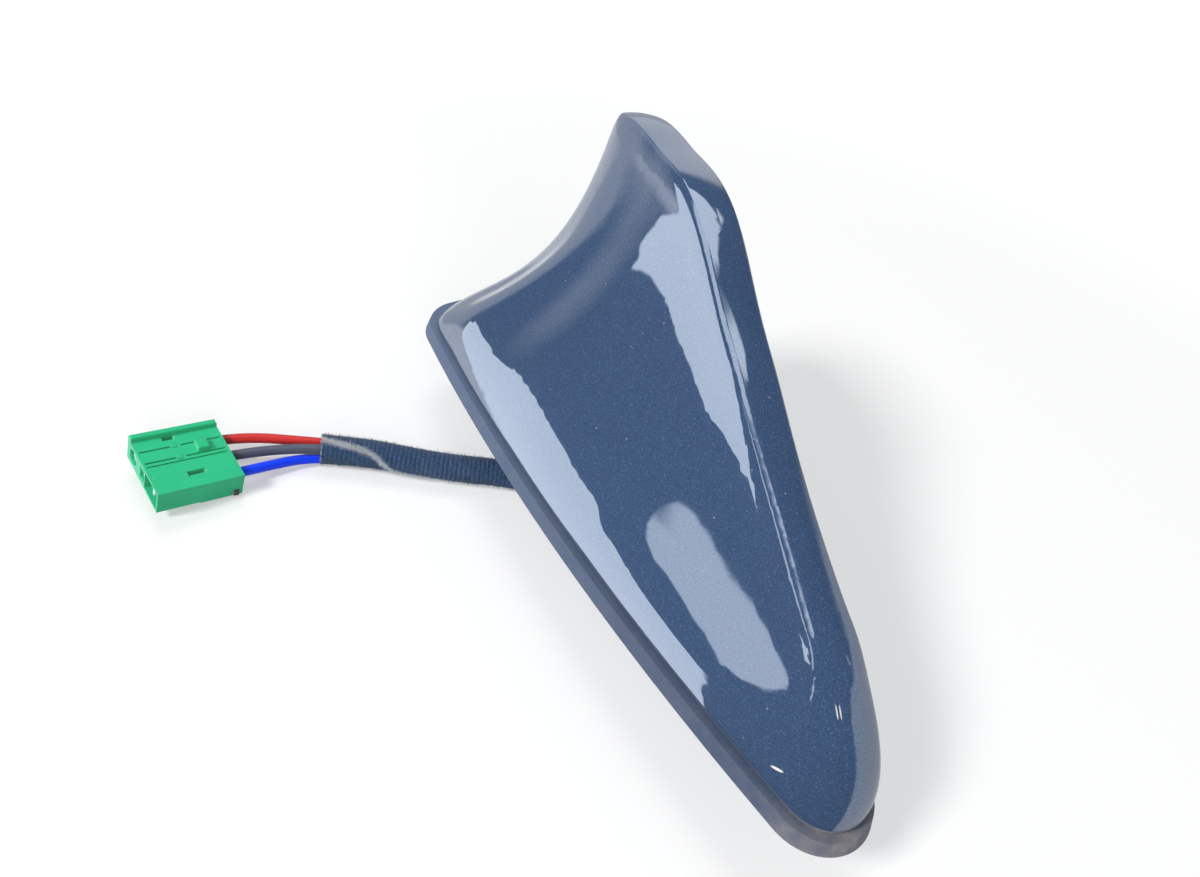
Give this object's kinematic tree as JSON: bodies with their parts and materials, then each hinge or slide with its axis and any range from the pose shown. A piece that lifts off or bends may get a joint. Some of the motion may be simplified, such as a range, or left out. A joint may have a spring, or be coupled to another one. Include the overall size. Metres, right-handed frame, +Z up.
{
  "type": "car antenna",
  "caption": "Fin-shaped car roof antenna on a rubber gasket, with a sleeved cable that ends in a green three-way connector.",
  "frame": {"origin": "on the axis of the fixing post, in the roof plane under the gasket", "axes": "+X to the nose, +Y to the car's left, +Z up out of the roof"},
  "size_m": [0.175, 0.1478, 0.0945],
  "materials": {
    "body_paint": "metallic dark blue paint under clear lacquer",
    "gasket_rubber": "matt moulded rubber",
    "seal_rubber": "soft silicone",
    "die_cast": "as-cast with a fine grain",
    "zinc_steel": "zinc plated",
    "spring_steel": "dark phosphated",
    "board_laminate": "solder-masked glass laminate",
    "tinned_sheet": "bright tin plate",
    "patch_ceramic": "fired ceramic",
    "holder_plastic": "plain moulded plastic",
    "winding_copper": "enamelled copper",
    "red_jacket": "smooth cable jacket",
    "grey_jacket": "smooth cable jacket",
    "blue_jacket": "smooth cable jacket",
    "sleeve_fleece": "fleece wrapping",
    "connector_green": "moulded plastic",
    "contact_tin": "tinned contacts",
    "retainer_plastic": "moulded plastic"
  },
  "bodies": {
    "root": {"fin_cover": "body_paint", "roof_gasket": "gasket_rubber", "base_plate": "die_cast", "cover_seal": "seal_rubber", "cover_screws": "zinc_steel", "retaining_claw": "spring_steel", "mounting_bolt": "zinc_steel", "main_board": "board_laminate", "board_screws": "zinc_steel", "shield_can": "tinned_sheet", "navigation_patch": "patch_ceramic", "patch_electrode": "tinned_sheet", "patch_pin": "tinned_sheet", "element_holder": "holder_plastic", "loading_coil": "winding_copper", "top_load_plate": "tinned_sheet", "phone_element": "tinned_sheet", "cable_grommet": "seal_rubber", "inner_leads": "grey_jacket", "harness_sleeve": "sleeve_fleece", "red_lead": "red_jacket", "grey_lead": "grey_jacket", "blue_lead": "blue_jacket", "connector_housing": "connector_green", "connector_contacts": "contact_tin", "contact_retainer": "retainer_plastic"}
  },
  "joints": []
}
